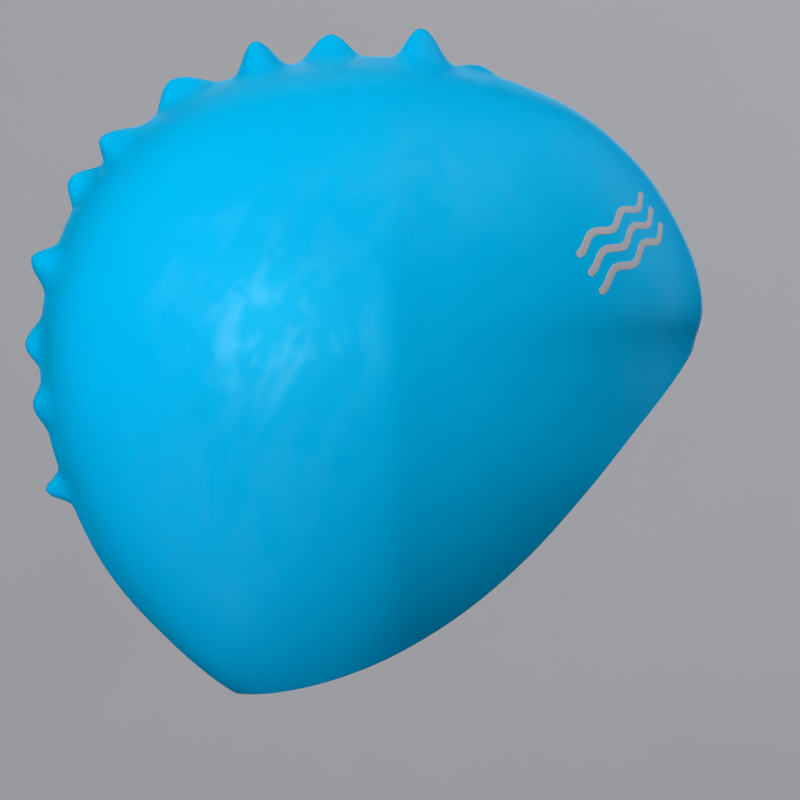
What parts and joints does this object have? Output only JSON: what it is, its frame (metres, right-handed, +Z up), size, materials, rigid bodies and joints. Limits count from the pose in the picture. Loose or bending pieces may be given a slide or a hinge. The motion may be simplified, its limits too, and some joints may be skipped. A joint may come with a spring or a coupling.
{
  "type": "swim cap",
  "caption": "Moulded silicone swim cap in its worn form: a thin domed shell, open below, with soft puckers along the crown seam, a slanting rim and wave lines printed at the forehead.",
  "frame": {"origin": "the point inside the crown, on the inner side of the shell, where the head bears on it", "axes": "+X the way the wearer faces, +Y the wearer's left, +Z up from the head through the crown"},
  "size_m": [0.2118, 0.1558, 0.2058],
  "materials": {
    "silicone": "satin cyan-blue silicone",
    "print_ink": "matt grey silicone ink"
  },
  "bodies": {
    "root": {"cap_shell": "silicone", "wave_print_1": "print_ink", "wave_print_2": "print_ink", "wave_print_3": "print_ink"}
  },
  "joints": []
}
